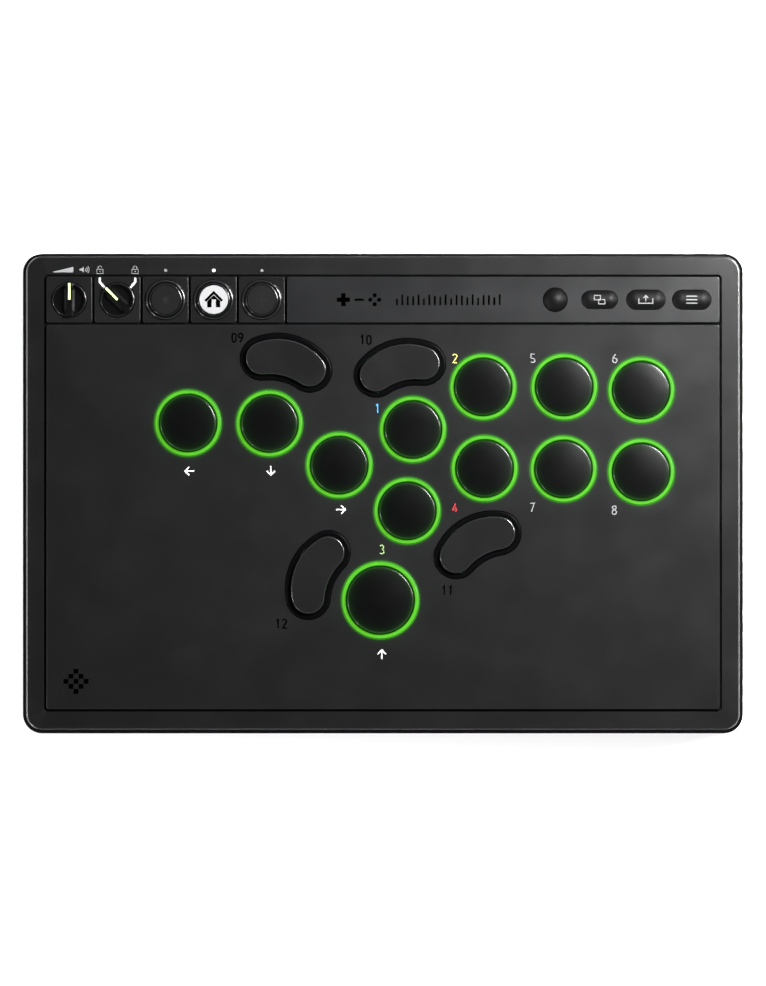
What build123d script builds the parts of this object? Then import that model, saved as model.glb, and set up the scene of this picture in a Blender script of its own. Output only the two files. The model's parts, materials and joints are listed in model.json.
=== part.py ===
from build123d import *
import math
import os

# Low-profile all-button arcade controller.
#
# Row frame, millimetres: +X to the player's right, +Y away from the player, +Z up.
# The origin is on the surface that the controller stands on, under the middle of the case.
#
# Build-up, from the bottom: rubber feet, lower case with the board and the battery,
# top bezel, and, seated in the bezel, one main panel, one header panel and five square tiles.
# Sixteen game keys stand on low-profile key switches, and seven small buttons on tact switches.

# ------------------------------------------------------------------ driving dimensions
CASE_LENGTH = 300.0
CASE_DEPTH = 200.0
CASE_CORNER = 8.2
CASE_LEAN = 1.5  # how far each side leans in, from the widest line to the bezel
CASE_HEEL = 2.0  # rounding of the bottom edge
WALL = 2.0
FLOOR = 2.2
PAST = 1.0  # how far a cut runs past the face that it opens
ROOT = 0.5  # how far an added piece reaches into the wall that it grows out of

FOOT_DROP = 1.2  # how far the feet stand below the case
FLOOR_TOP = FOOT_DROP + FLOOR
BEZEL_LOW = 17.5  # parting plane of case and bezel
BEZEL_TAPER = 3.0  # degrees
BEZEL_ROUND = 0.8  # rounding of its outer top edge
LIP_GAP = 0.2  # between the case's wall and the bezel's locating lip
LIP = 1.2
LIP_DROP = 2.0
PANEL_TOP = 22.0
PANEL = 2.0
PANEL_LOW = PANEL_TOP - PANEL

OPENING_LENGTH = 281.6  # the bezel's opening, which the panels fill
OPENING_DEPTH = 181.6
OPENING_CORNER = 1.9
SEAM = 0.95
PANEL_CORNER = 1.0
EDGE_BREAK = 0.3
LEDGE = 3.2  # how far the bezel's seat reaches in under the panels
SEAT = 2.0
SEAM_RIB = 4.6  # seat under the seam between main panel and header
TILE_RIB = 4.0  # seats under the seams between tiles

TILE_PITCH = 20.0
TILE = TILE_PITCH - SEAM
TILE_COUNT = 5
CROWN_STEP = 0.05  # upright edge left under a rounded crown that meets a panel
PANEL_RIGHT = OPENING_LENGTH / 2 - SEAM
PANEL_REAR = OPENING_DEPTH / 2 - SEAM
ROW_Y = PANEL_REAR - TILE / 2  # centre line of the tiles and the header buttons
HEADER_FRONT = PANEL_REAR - TILE
MAIN_REAR = HEADER_FRONT - SEAM
TILE_X = [-PANEL_RIGHT + TILE / 2 + TILE_PITCH * i for i in range(TILE_COUNT)]
HEADER_LEFT = -PANEL_RIGHT + TILE_PITCH * TILE_COUNT

BOARD_LOW = 8.0
BOARD = 1.6
BOARD_TOP = BOARD_LOW + BOARD
BOARD_REAR = (274.0, -8.0, 94.5)  # length, front edge and rear edge of the wide part
BOARD_FRONT = (124.0, -64.0, -7.0)  # the same of the narrow part before it
NOTCH_GAP = 0.6  # between the board and a screw boss

# Lit keys: name, centre and size class. The thumb key is the large one.
ROUND_KEYS = {
    "left": (-81.0, 29.1),
    "down": (-47.2, 28.9),
    "right": (-18.2, 11.6),
    "up": (-1.1, -44.5),
    "action_1": (12.4, 26.4),
    "action_2": (41.6, 44.1),
    "action_3": (10.1, -7.4),
    "action_4": (42.2, 10.2),
    "action_5": (75.3, 44.1),
    "action_6": (107.3, 42.8),
    "action_7": (75.0, 10.0),
    "action_8": (107.3, 8.8),
}
LARGE_KEYS = ("up",)
CAP_RADIUS = {False: 11.75, True: 13.9}
RING_INNER = {False: 12.15, True: 14.35}
RING_OUTER = {False: 14.0, True: 16.3}

# Bean keys: name, middle of the line between the two end centres, and its direction in degrees.
BEAN_KEYS = {
    "bean_1": (-40.3, 53.5, -14.0),
    "bean_2": (7.0, 51.4, 14.0),
    "bean_3": (39.3, -21.6, 28.8),
    "bean_4": (-26.9, -34.1, 66.0),
}
BEAN_HALF = 10.2  # middle to end centre
BEAN_END = 6.8  # radius of the ends
BEAN_BULGE = 10.15  # centre line to the crown of the outer side
BEAN_WAIST = 5.0  # centre line to the middle of the hollow side
BEAN_SWITCH = (BEAN_BULGE - BEAN_WAIST) / 2  # the switch sits midway between the two sides
COLLAR_GAP = 0.35
COLLAR_BAND = 2.5

CAP_TOP = 25.3
CAP_CROWN = 0.5
CAP_SKIRT = 20.0
CAP_ROOF = 23.0
CAP_WALL = 1.5
CAP_RIM = 0.6
BEAN_TOP = 25.1
BEAN_ROOF = 1.8
BEAN_RIM = 0.55
FIT_GAP = 0.1
RING_PROUD = 0.55
RING_CREST = 0.7  # rounding of the ring's outer top edge
RING_BORE_BREAK = 0.3
RING_FLANGE = 1.6
COLLAR_CREST = 0.8
COLLAR_FLANGE = 1.1
FLANGE = 1.5
RING_LOW = 11.2
COLLAR_LOW = 17.0

SWITCH = 13.8
SWITCH_SPLIT = BOARD_TOP + 4.2
SWITCH_ROOF = BOARD_TOP + 7.0
SWITCH_FLANGE = 15.0
SWITCH_RIM = 1.2  # thickness of the flange
SWITCH_LID = 12.4
LID_BREAK = 0.8
WELL = (7.4, 6.6)  # cavity that the stem's shoulder slides in
WELL_LOW = BOARD_TOP + 0.9
WELL_TOP = BOARD_TOP + 5.8
SHOULDER = (7.0, 6.2)
SHOULDER_LOW = BOARD_TOP + 4.1
SHOULDER_TOP = BOARD_TOP + 5.7
STEM_NECK = 5.8
STEM_TOP = BOARD_TOP + 10.2
STEM_GAP = 0.3
SOCKET = (8.6, 5.4)
PRONG = (1.2, 3.0, 2.4)
PRONG_X = 2.6
SPRING_POST = 1.35
SPRING_BORE = 2.25
SPRING_BORE_TOP = BOARD_TOP + 8.0
SPRING_LOW = BOARD_TOP + 1.1
SPRING_TOP = BOARD_TOP + 7.8
SPRING_RADIUS = 1.85
SPRING_WIRE = 0.16
SPRING_TURNS = 5
SPRING_SIDES = 8

# Header buttons: centre x, length and width. A round one has equal length and width.
HEADER_BUTTONS = {
    "profile_button": (71.6, 10.0, 10.0),
    "windows_button": (90.0, 15.0, 7.5),
    "share_button": (109.2, 16.1, 8.1),
    "menu_button": (128.3, 16.1, 8.1),
}
TILE_BUTTONS = {"function_button": 2, "home_button": 3, "pair_button": 4}
TILE_NAMES = ["volume_tile", "lock_tile", "function_tile", "home_tile", "pair_tile"]
BUTTON_GAP = 0.2
BALL_TOP = 23.9  # crown of the round header button
PILL_TOP = 23.2  # crown of the long header buttons
TILE_BUTTON_RADIUS = 6.85
TILE_FACE_RADIUS = 5.95
TILE_GROOVE = 0.15
TILE_COLLAR_RADIUS = 8.5
TILE_COLLAR_TOP = 23.1
TILE_BUTTON_TOP = 23.9
TILE_BUTTON_RIM = 0.5
LENS = 0.9
LENS_BREAK = 0.12
BUTTON_SKIRT = 19.0
STOP_LOW = 18.2  # flange that keeps a small button in its panel
STOP_TOP = 19.8
STOP_REACH = 1.4
STOP_BAR = (15.0, 10.0)
BUTTON_FOOT = 2.2
BUTTON_FOOT_LOW = 15.5
TACT = 6.0
TACT_TOP = BOARD_TOP + 3.6
TACT_WELL = BOARD_TOP + 1.4
PLUNGER = 1.7
PLUNGER_LOW = BOARD_TOP + 2.2

KNOB_RADIUS = 7.15
KNOB_RIM = 5.95
KNOB_RIM_TOP = 23.0
KNOB_TOP = 24.6
KNOB_FLOOR = 21.4
KNOB_LOW = PANEL_LOW + 0.3
KNOB_HOLE = 7.45
KNOB_EDGE = 0.5
KNOB_HUB = 3.6
KNOB_HUB_LOW = 16.0
GRIP_FOOT = 4.6  # widths of the grip bar at its foot and its crest
GRIP_CREST = 2.3
POINTER = 1.0
POINTER_DEPTH = 0.6
POINTER_END = 0.25  # from the pointer's outer end to the knob's edge
POINTER_GAP = 0.03
KNOBS = {"volume": (0, 0.0), "lock": (1, 45.0)}  # tile number and the pointer's angle at rest
SHAFT = 1.6
SHAFT_LOW = 11.0
ROTARY = 9.6
ROTARY_TOP = 14.6
ROTARY_NECK = 2.8
ROTARY_NECK_TOP = 15.6

PIP_Y = 92.5
PIP_RADIUS = 0.6
PIPE_GAP = 0.4  # from a lamp up to its light pipe

PORT_FACE = CASE_DEPTH / 2 - CASE_LEAN - WALL - 0.1  # how far back the two sockets reach
USB_X = 0.0
USB_Z = 11.3
USB_WAY = (12.8, 6.8)
USB_SHELL = (8.94, 3.26, 1.2)  # width, height and corner
USB_SHEET = 0.3
USB_DEPTH = 7.4
USB_TONGUE = (6.7, 0.7, 0.2)
USB_TONGUE_LENGTH = 6.0
USB_ROOT = 1.2
JACK_X = -18.0
JACK_Z = 12.1
JACK_WAY = 4.6
JACK_RADIUS = 1.8
JACK_LENGTH = 13.8
JACK_END = 0.6
JACK_BODY = (6.4, 5.0)  # width and height

CASE_SCREWS = [(sx * 142.6, sy * 92.6) for sx in (-1, 1) for sy in (-1, 1)]
CASE_SCREWS += [(sx * 142.6, 0.0) for sx in (-1, 1)]
CASE_SCREWS += [(sx * 32.0, 92.6) for sx in (-1, 1)]
CASE_SCREWS += [(sx * 70.0, -92.6) for sx in (-1, 1)]
CASE_BOSS = 3.8
BEZEL_BOSS = 3.2
BOSS_SPLIT = 12.0
HEAD_POCKET = 3.0
HEAD_SEAT = FOOT_DROP + 2.0
SCREW_GAP = 0.25  # round a screw where it passes through
THREAD_GAP = 0.05  # round a screw where it bites
BLIND_END = 0.4
CASE_HEAD = 2.75
CASE_THREAD = 1.45
CASE_THREAD_TOP = 15.6
HEAD_SINK = 0.4  # from the case's underside up to a screw's head
HEAD_ROUND = 0.5
CASE_DRIVE = (3.0, 0.6, 0.8)  # length, width and depth of each slot of the cross
BOARD_DRIVE = (2.4, 0.5, 0.7)
BOARD_POST = 2.8
BOARD_HEAD = 2.2
BOARD_HEAD_TOP = BOARD_TOP + 1.4
BOARD_THREAD = 1.1
BOARD_THREAD_LOW = 4.6
BOARD_SCREWS = [(-128, 60), (-128, 0), (128, 60), (128, 0), (-56, -56), (56, -56), (-14, 69), (58, 69)]
FEET = [(sx * 105.0, sy * 80.0) for sx in (-1, 1) for sy in (-1, 1)]
FOOT = (46.0, 14.0)
FOOT_POCKET = 0.8
FOOT_GAP = 0.4

BATTERY = (60.0, 46.0, 8.4)
BATTERY_AT = (98.0, -38.0)
BATTERY_LOW = FLOOR_TOP + 0.1
BATTERY_ROUND = 1.2
CRADLE = 1.4  # thickness and height of the walls that hold the battery
CRADLE_GAP = 0.3
CRADLE_ANGLE = 20.6  # how much of each side the corner angles cover
CRADLE_TOP = FLOOR_TOP + 4.0
PLUG_AT = (91.0, -3.5)
PLUG = (6.0, 4.0, 3.4)
LEAD = 0.65
LEAD_PITCH = 2.4
LEAD_LOW = 8.6
LEAD_TOP = BOARD_TOP + 1.9

LAMP = (1.8, 0.8)  # side and height
LAMPS_PER_RING = 4
SHIELD = (16.0, 12.0, 2.2)
SHIELD_AT = (30.0, 69.0)
SHIELD_SHEET = 0.25
CHIP = (9.0, 1.1)  # side and height
CHIP_AT = (86.0, 66.0)

UP = (Align.CENTER, Align.CENTER, Align.MIN)


# ------------------------------------------------------------------ helpers
def block(length, depth, low, high, x=0.0, y=0.0):
    """An upright box between two heights."""
    return Pos(x, y, low) * Box(length, depth, high - low, align=UP)


def rod(radius, low, high, x=0.0, y=0.0):
    """An upright cylinder between two heights."""
    return Pos(x, y, low) * Cylinder(radius, high - low, align=UP)


def slab(length, depth, corner, low, high, x=0.0, y=0.0):
    """An upright plate with rounded corners between two heights."""
    return extrude(Pos(x, y, low) * RectangleRounded(length, depth, corner), high - low)


def pill(length, width, low, high, x=0.0, y=0.0):
    """An upright plate with round ends, or a disc if it is as long as it is wide."""
    if length <= width:
        return rod(width / 2, low, high, x, y)
    return extrude(Pos(x, y, low) * SlotOverall(length, width), high - low)


def flat_edges(shape, height):
    """The edges that lie flat at one height."""
    edges = [(edge, edge.bounding_box()) for edge in shape.edges()]
    return [edge for edge, box in edges if max(abs(box.min.Z - height), abs(box.max.Z - height)) < 1e-4]


def bean(offset=0.0):
    """The bean outline, grown by offset: two end arcs, a crowned side and a hollow side, all tangent."""
    half, end = BEAN_HALF, BEAN_END
    crown = (half**2 + BEAN_BULGE**2 - end**2) / (2 * (BEAN_BULGE - end))
    hollow = (half**2 + BEAN_WAIST**2 - end**2) / (2 * (end - BEAN_WAIST))
    crown_y = BEAN_BULGE - crown
    hollow_y = -BEAN_WAIST - hollow
    out_angle = math.atan2(-crown_y, half)
    in_angle = math.atan2(hollow_y, -half)
    middle = (out_angle + in_angle) / 2

    def on_end(angle, side=1):
        x = half + (end + offset) * math.cos(angle)
        return (side * x, (end + offset) * math.sin(angle))

    sides = [
        ThreePointArc(on_end(out_angle, -1), (0, BEAN_BULGE + offset), on_end(out_angle)),
        ThreePointArc(on_end(out_angle), on_end(middle), on_end(in_angle)),
        ThreePointArc(on_end(in_angle), (0, -BEAN_WAIST - offset), on_end(in_angle, -1)),
        ThreePointArc(on_end(in_angle, -1), on_end(middle, -1), on_end(out_angle, -1)),
    ]
    return make_face(sides)


def bean_block(offset, low, high):
    return extrude(Pos(0, 0, low) * bean(offset), high - low)


def bean_place(name):
    x, y, angle = BEAN_KEYS[name]
    return Location((x, y, 0), (0, 0, angle))


def switch_places():
    """Where each of the sixteen key switches stands, by key name."""
    places = {name: Location((x, y, 0)) for name, (x, y) in ROUND_KEYS.items()}
    for name in BEAN_KEYS:
        places[name] = bean_place(name) * Location((0, BEAN_SWITCH, 0))
    return places


def group(shapes):
    """Several separate solids as one node."""
    return Compound([solid for shape in shapes for solid in shape.solids()])


# ------------------------------------------------------------------ case
def lower_case():
    """Tub with leaning sides, screw bosses, board posts, a battery cradle and the two port openings."""
    height = BEZEL_LOW - FOOT_DROP
    lean = math.degrees(math.atan2(CASE_LEAN, height))
    base = Pos(0, 0, FOOT_DROP) * RectangleRounded(CASE_LENGTH, CASE_DEPTH, CASE_CORNER)
    tub = extrude(base, height, taper=lean)
    tub = fillet(flat_edges(tub, FOOT_DROP), CASE_HEEL)
    tub = chamfer(flat_edges(tub, BEZEL_LOW), EDGE_BREAK)
    rim = CASE_LEAN + WALL
    inner_corner = CASE_CORNER - rim + EDGE_BREAK
    tub -= slab(CASE_LENGTH - 2 * rim, CASE_DEPTH - 2 * rim, inner_corner, FLOOR_TOP, BEZEL_LOW + PAST)
    root = FLOOR_TOP - EDGE_BREAK  # bosses, posts and cradle grow out of the floor
    for x, y in CASE_SCREWS:
        tub += rod(CASE_BOSS, root, BOSS_SPLIT, x, y)
    for x, y in BOARD_SCREWS:
        tub += rod(BOARD_POST, root, BOARD_LOW, x, y)
    tub += battery_cradle(root)
    for x, y in CASE_SCREWS:
        tub -= rod(HEAD_POCKET, FOOT_DROP - PAST, HEAD_SEAT, x, y)
        tub -= rod(CASE_THREAD + SCREW_GAP, FOOT_DROP, BOSS_SPLIT + PAST, x, y)
    for x, y in BOARD_SCREWS:
        tub -= rod(BOARD_THREAD + THREAD_GAP, BOARD_THREAD_LOW - BLIND_END, BOARD_LOW + PAST, x, y)
    for x, y in FEET:
        tub -= pill(FOOT[0] + FOOT_GAP, FOOT[1] + FOOT_GAP, FOOT_DROP - PAST, FOOT_DROP + FOOT_POCKET, x, y)
    tub -= extrude(rear_plane(USB_X, USB_Z, rim + PAST) * SlotOverall(*USB_WAY), rim + 2 * PAST)
    tub -= extrude(rear_plane(JACK_X, JACK_Z, rim + PAST) * Circle(JACK_WAY), rim + 2 * PAST)
    return tub


def rear_plane(x, z, inset):
    """An upright plane that faces backwards, a given way in from the case's widest rear line."""
    return Plane((x, CASE_DEPTH / 2 - inset, z), x_dir=(-1, 0, 0), z_dir=(0, 1, 0))


def battery_cradle(low):
    """Four corner angles round the battery."""
    length, depth = BATTERY[0] + 2 * CRADLE_GAP, BATTERY[1] + 2 * CRADLE_GAP
    over = CRADLE_TOP + PAST
    cradle = block(length + 2 * CRADLE, depth + 2 * CRADLE, low, CRADLE_TOP, *BATTERY_AT)
    cradle -= block(length, depth, low - PAST, over, *BATTERY_AT)
    cradle -= block(length - CRADLE_ANGLE, depth + 4 * CRADLE, FLOOR_TOP, over, *BATTERY_AT)
    cradle -= block(length + 4 * CRADLE, depth - CRADLE_ANGLE, FLOOR_TOP, over, *BATTERY_AT)
    return cradle


def top_bezel():
    """Frame round the panels, with the seat that carries them, a locating lip and screw bosses."""
    length = CASE_LENGTH - 2 * CASE_LEAN
    depth = CASE_DEPTH - 2 * CASE_LEAN
    base = Pos(0, 0, BEZEL_LOW) * RectangleRounded(length, depth, CASE_CORNER - CASE_LEAN)
    frame = extrude(base, PANEL_TOP - BEZEL_LOW, taper=BEZEL_TAPER)
    frame = fillet(flat_edges(frame, PANEL_TOP), BEZEL_ROUND)
    frame -= slab(OPENING_LENGTH, OPENING_DEPTH, OPENING_CORNER, PANEL_LOW, PANEL_TOP + PAST)
    inner_length = OPENING_LENGTH - 2 * LEDGE
    inner_depth = OPENING_DEPTH - 2 * LEDGE
    frame -= slab(inner_length, inner_depth, PANEL_CORNER, BEZEL_LOW - PAST, PANEL_TOP)
    frame += seat_ribs(inner_length, inner_depth / 2)
    rim = CASE_LEAN + WALL + LIP_GAP
    outer = (CASE_LENGTH - 2 * rim, CASE_DEPTH - 2 * rim)
    corner = CASE_CORNER - rim + 2 * LIP_GAP
    lip = slab(*outer, corner, BEZEL_LOW - LIP_DROP, BEZEL_LOW + ROOT)
    hollow = (outer[0] - 2 * LIP, outer[1] - 2 * LIP)
    frame += lip - slab(*hollow, corner - LIP, BEZEL_LOW - LIP_DROP - PAST, BEZEL_LOW + PAST)
    for x, y in CASE_SCREWS:
        frame += rod(BEZEL_BOSS, BOSS_SPLIT, BEZEL_LOW + ROOT, x, y)
    for x, y in CASE_SCREWS:
        frame -= rod(CASE_THREAD + THREAD_GAP, BOSS_SPLIT - PAST, BEZEL_LOW - ROOT, x, y)
    for i in TILE_BUTTONS.values():
        frame -= rod(PIP_RADIUS + THREAD_GAP, BEZEL_LOW - LIP_DROP - PAST, PANEL_TOP + PAST, TILE_X[i], PIP_Y)
    return frame


def seat_ribs(length, rear):
    """Bars of the bezel's seat that run under the seams of the header and the tiles."""
    seam_y = (HEADER_FRONT + MAIN_REAR) / 2
    ribs = block(length + 2 * ROOT, SEAM_RIB, PANEL_LOW - SEAT, PANEL_LOW, 0, seam_y)
    for i in range(1, TILE_COUNT + 1):
        seam_x = -PANEL_RIGHT - SEAM / 2 + TILE_PITCH * i
        run = rear + 2 * ROOT - seam_y
        ribs += block(TILE_RIB, run, PANEL_LOW - SEAT, PANEL_LOW, seam_x, seam_y + run / 2)
    return ribs


def main_panel():
    """Face plate with a hole for each light ring and each bean collar."""
    depth = MAIN_REAR + PANEL_REAR
    plate = slab(2 * PANEL_RIGHT, depth, PANEL_CORNER, PANEL_LOW, PANEL_TOP, 0, MAIN_REAR - depth / 2)
    plate = fillet(flat_edges(plate, PANEL_TOP), EDGE_BREAK)
    for name, (x, y) in ROUND_KEYS.items():
        radius = RING_OUTER[name in LARGE_KEYS] + FIT_GAP
        plate -= rod(radius, PANEL_LOW - PAST, PANEL_TOP + PAST, x, y)
    for name in BEAN_KEYS:
        hole = bean_block(COLLAR_BAND + FIT_GAP, PANEL_LOW - PAST, PANEL_TOP + PAST)
        plate -= bean_place(name) * hole
    return plate


def header_panel():
    """Narrow face plate with the four header buttons' holes."""
    length = PANEL_RIGHT - HEADER_LEFT
    plate = slab(length, TILE, PANEL_CORNER, PANEL_LOW, PANEL_TOP, HEADER_LEFT + length / 2, ROW_Y)
    plate = fillet(flat_edges(plate, PANEL_TOP), EDGE_BREAK)
    for x, long_side, short_side in HEADER_BUTTONS.values():
        gap = 2 * BUTTON_GAP
        plate -= pill(long_side + gap, short_side + gap, PANEL_LOW - PAST, PANEL_TOP + PAST, x, ROW_Y)
    return plate


def tile(i, bore):
    plate = slab(TILE, TILE, PANEL_CORNER, PANEL_LOW, PANEL_TOP, TILE_X[i], ROW_Y)
    plate = fillet(flat_edges(plate, PANEL_TOP), EDGE_BREAK)
    return plate - rod(bore, PANEL_LOW - PAST, PANEL_TOP + PAST, TILE_X[i], ROW_Y)


def button_tile(i):
    """Tile with a rounded collar standing round its button."""
    bore = TILE_BUTTON_RADIUS + BUTTON_GAP
    collar = rod(TILE_COLLAR_RADIUS, PANEL_TOP - ROOT, TILE_COLLAR_TOP, TILE_X[i], ROW_Y)
    collar = fillet(flat_edges(collar, TILE_COLLAR_TOP), TILE_COLLAR_TOP - PANEL_TOP - CROWN_STEP)
    return tile(i, bore) + (collar - rod(bore, PANEL_LOW, TILE_COLLAR_TOP + PAST, TILE_X[i], ROW_Y))


# ------------------------------------------------------------------ light rings and collars
def light_ring(large):
    """Deep light guide: a tube over the board's lamps, a flange under the panel and a rounded lit rim."""
    inner, outer = RING_INNER[large], RING_OUTER[large]
    top = PANEL_TOP + RING_PROUD
    ring = rod(outer, RING_LOW, top)
    ring = fillet(flat_edges(ring, top), RING_CREST)
    ring += rod(outer + RING_FLANGE, PANEL_LOW - FLANGE, PANEL_LOW)
    ring -= rod(inner, RING_LOW - PAST, top + PAST)
    return fillet([edge for edge in flat_edges(ring, top) if edge.radius < inner + FIT_GAP], RING_BORE_BREAK)


def bean_collar():
    """Unlit surround of a bean key, with a flange under the panel."""
    top = PANEL_TOP + RING_PROUD
    collar = bean_block(COLLAR_BAND, COLLAR_LOW, top)
    collar = fillet(flat_edges(collar, top), COLLAR_CREST)
    collar += bean_block(COLLAR_BAND + COLLAR_FLANGE, PANEL_LOW - FLANGE, PANEL_LOW)
    collar -= bean_block(COLLAR_GAP, COLLAR_LOW - PAST, top + PAST)
    return collar


# ------------------------------------------------------------------ game keys
def socket_boss(roof):
    """Block under a cap that sits on the stem's neck and takes its two prongs."""
    boss = block(*SOCKET, STEM_TOP, roof + ROOT)
    for side in (-1, 1):
        boss -= block(PRONG[0], PRONG[1], STEM_TOP - PAST, STEM_TOP + PRONG[2] + FIT_GAP, side * PRONG_X, 0)
    return boss


def switch_stem():
    """Moving plunger of a key switch, with its shoulder, spring bore and two prongs."""
    stem = block(*SHOULDER, SHOULDER_LOW, SHOULDER_TOP)
    stem += block(STEM_NECK, STEM_NECK, SHOULDER_LOW, STEM_TOP)
    stem -= rod(SPRING_BORE, SHOULDER_LOW - PAST, SPRING_BORE_TOP)
    for side in (-1, 1):
        stem += block(PRONG[0], PRONG[1], STEM_TOP, STEM_TOP + PRONG[2], side * PRONG_X, 0)
    return stem


def round_cap(large):
    """Slightly domed cap with a skirt."""
    radius = CAP_RADIUS[large]
    dome = (radius**2 + CAP_CROWN**2) / (2 * CAP_CROWN)
    cap = rod(radius, CAP_SKIRT, CAP_TOP + PAST) & Pos(0, 0, CAP_TOP - dome) * Sphere(dome)
    rim = [edge for edge in cap.edges() if edge.bounding_box().min.Z > CAP_TOP - CAP_CROWN - FIT_GAP]
    cap = fillet(rim, CAP_RIM)
    cap -= rod(radius - CAP_WALL, CAP_SKIRT - PAST, CAP_ROOF)
    return cap + socket_boss(CAP_ROOF)


def bean_cap():
    """Flat bean cap with a softened top edge and a skirt."""
    roof = BEAN_TOP - BEAN_ROOF
    cap = fillet(flat_edges(bean_block(0, CAP_SKIRT, BEAN_TOP), BEAN_TOP), BEAN_RIM)
    cap -= bean_block(-CAP_WALL, CAP_SKIRT - PAST, roof)
    return cap + Pos(0, BEAN_SWITCH, 0) * socket_boss(roof)


def switch_base():
    """Lower half of a key switch, with its cavity and spring post."""
    base = block(SWITCH, SWITCH, BOARD_TOP, SWITCH_SPLIT)
    base -= block(*WELL, WELL_LOW, SWITCH_SPLIT + PAST)
    return base + rod(SPRING_POST, WELL_LOW - EDGE_BREAK, WELL_LOW + SPRING_POST)


def switch_lid():
    """Upper half of a key switch, with the stem's opening."""
    lid = block(SWITCH_FLANGE, SWITCH_FLANGE, SWITCH_SPLIT, SWITCH_SPLIT + SWITCH_RIM)
    crown = block(SWITCH_LID, SWITCH_LID, SWITCH_SPLIT, SWITCH_ROOF)
    lid += chamfer(flat_edges(crown, SWITCH_ROOF), LID_BREAK)
    lid -= block(*WELL, SWITCH_SPLIT - PAST, WELL_TOP)
    return lid - block(STEM_NECK + STEM_GAP, STEM_NECK + STEM_GAP, SWITCH_SPLIT, SWITCH_ROOF + PAST)


def switch_spring():
    """Coil spring that lifts a stem, drawn at its length in a key at rest, as short straight runs of wire."""
    steps = SPRING_TURNS * SPRING_SIDES
    points = []
    for i in range(steps + 1):
        angle = 2 * math.pi * i / SPRING_SIDES
        z = SPRING_LOW + (SPRING_TOP - SPRING_LOW) * i / steps
        points.append((SPRING_RADIUS * math.cos(angle), SPRING_RADIUS * math.sin(angle), z))
    path = Polyline(*points)
    wire = Plane(path @ 0, z_dir=path % 0) * Circle(SPRING_WIRE)
    return sweep(wire, path=path, transition=Transition.RIGHT)


# ------------------------------------------------------------------ small buttons and knobs
def tact_body():
    body = chamfer(flat_edges(block(TACT, TACT, BOARD_TOP, TACT_TOP), TACT_TOP), EDGE_BREAK)
    return body - rod(PLUNGER + FIT_GAP, TACT_WELL, TACT_TOP + PAST)


def tact_plunger():
    return rod(PLUNGER, PLUNGER_LOW, BUTTON_FOOT_LOW)


def button_foot():
    """Rod under a small button that stands on its tact switch's plunger."""
    return rod(BUTTON_FOOT, BUTTON_FOOT_LOW, STOP_LOW + EDGE_BREAK)


def header_button(long_side, short_side):
    """Crowned header button: a ball-like one if it is round, a pill otherwise."""
    is_round = long_side == short_side
    top = BALL_TOP if is_round else PILL_TOP
    crown = top - PANEL_TOP - CROWN_STEP
    dome = ((short_side / 2) ** 2 + crown**2) / (2 * crown)
    crest = Pos(0, 0, top - dome) * Sphere(dome)
    if not is_round:
        run = long_side - short_side
        ends = [Pos(side * run / 2, 0, 0) * crest for side in (-1, 1)]
        crest = Pos(0, 0, top - dome) * Rot(0, 90, 0) * Cylinder(dome, run) + ends
    cap = pill(long_side, short_side, BUTTON_SKIRT, top + PAST) & crest
    cap += pill(long_side + STOP_REACH, short_side + STOP_REACH, STOP_LOW, STOP_TOP)
    return cap + button_foot()


def tile_button():
    """Round push button with a fine groove between its rim and its face."""
    cap = rod(TILE_BUTTON_RADIUS, BUTTON_SKIRT, TILE_BUTTON_TOP)
    cap = fillet(flat_edges(cap, TILE_BUTTON_TOP), TILE_BUTTON_RIM)
    cap += block(*STOP_BAR, STOP_LOW, STOP_TOP)
    cap += button_foot()
    groove = rod(TILE_FACE_RADIUS + TILE_GROOVE, TILE_BUTTON_TOP - 2 * TILE_GROOVE, TILE_BUTTON_TOP + PAST)
    groove -= rod(TILE_FACE_RADIUS, TILE_BUTTON_TOP - PAST, TILE_BUTTON_TOP + 2 * PAST)
    return cap - groove


def home_lens():
    lens = rod(TILE_FACE_RADIUS, TILE_BUTTON_TOP - LENS, TILE_BUTTON_TOP)
    return chamfer(flat_edges(lens, TILE_BUTTON_TOP), LENS_BREAK)


def knob():
    """Dished round knob with a bevelled grip bar across it and a pocket for its pointer."""
    body = rod(KNOB_RADIUS, KNOB_LOW, KNOB_RIM_TOP)
    body = fillet(flat_edges(body, KNOB_RIM_TOP), KNOB_EDGE)
    body -= rod(KNOB_RIM, KNOB_FLOOR, KNOB_RIM_TOP + PAST)
    root = KNOB_FLOOR - ROOT
    right = [(GRIP_FOOT / 2, root), (GRIP_CREST / 2, KNOB_TOP)]
    left = [(-x, z) for x, z in reversed(right)]
    profile = Plane.XZ * make_face(Polyline(*right, *left, close=True))
    bar = extrude(profile, KNOB_RADIUS, both=True)
    body += bar & rod(KNOB_RADIUS, KNOB_LOW, KNOB_TOP + PAST)
    body -= pointer(0.0)
    body += rod(KNOB_HUB, KNOB_HUB_LOW, KNOB_LOW + ROOT)
    return body - rod(SHAFT + POINTER_GAP, KNOB_HUB_LOW - PAST, KNOB_LOW + 2 * FIT_GAP)


def pointer(gap):
    """Pale bar let into the grip, from the middle of the knob out to its edge."""
    length = KNOB_RADIUS - POINTER_END
    return block(POINTER - 2 * gap, length - 2 * gap, KNOB_TOP - POINTER_DEPTH, KNOB_TOP, 0, length / 2)


def knob_shaft():
    return rod(SHAFT, SHAFT_LOW, KNOB_LOW + FIT_GAP)


def rotary_body():
    body = block(ROTARY, ROTARY, BOARD_TOP, ROTARY_TOP)
    body += rod(ROTARY_NECK, ROTARY_TOP, ROTARY_NECK_TOP)
    return body - rod(SHAFT + 2 * POINTER_GAP, SHAFT_LOW - 2 * FIT_GAP, ROTARY_NECK_TOP + PAST)


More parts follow.
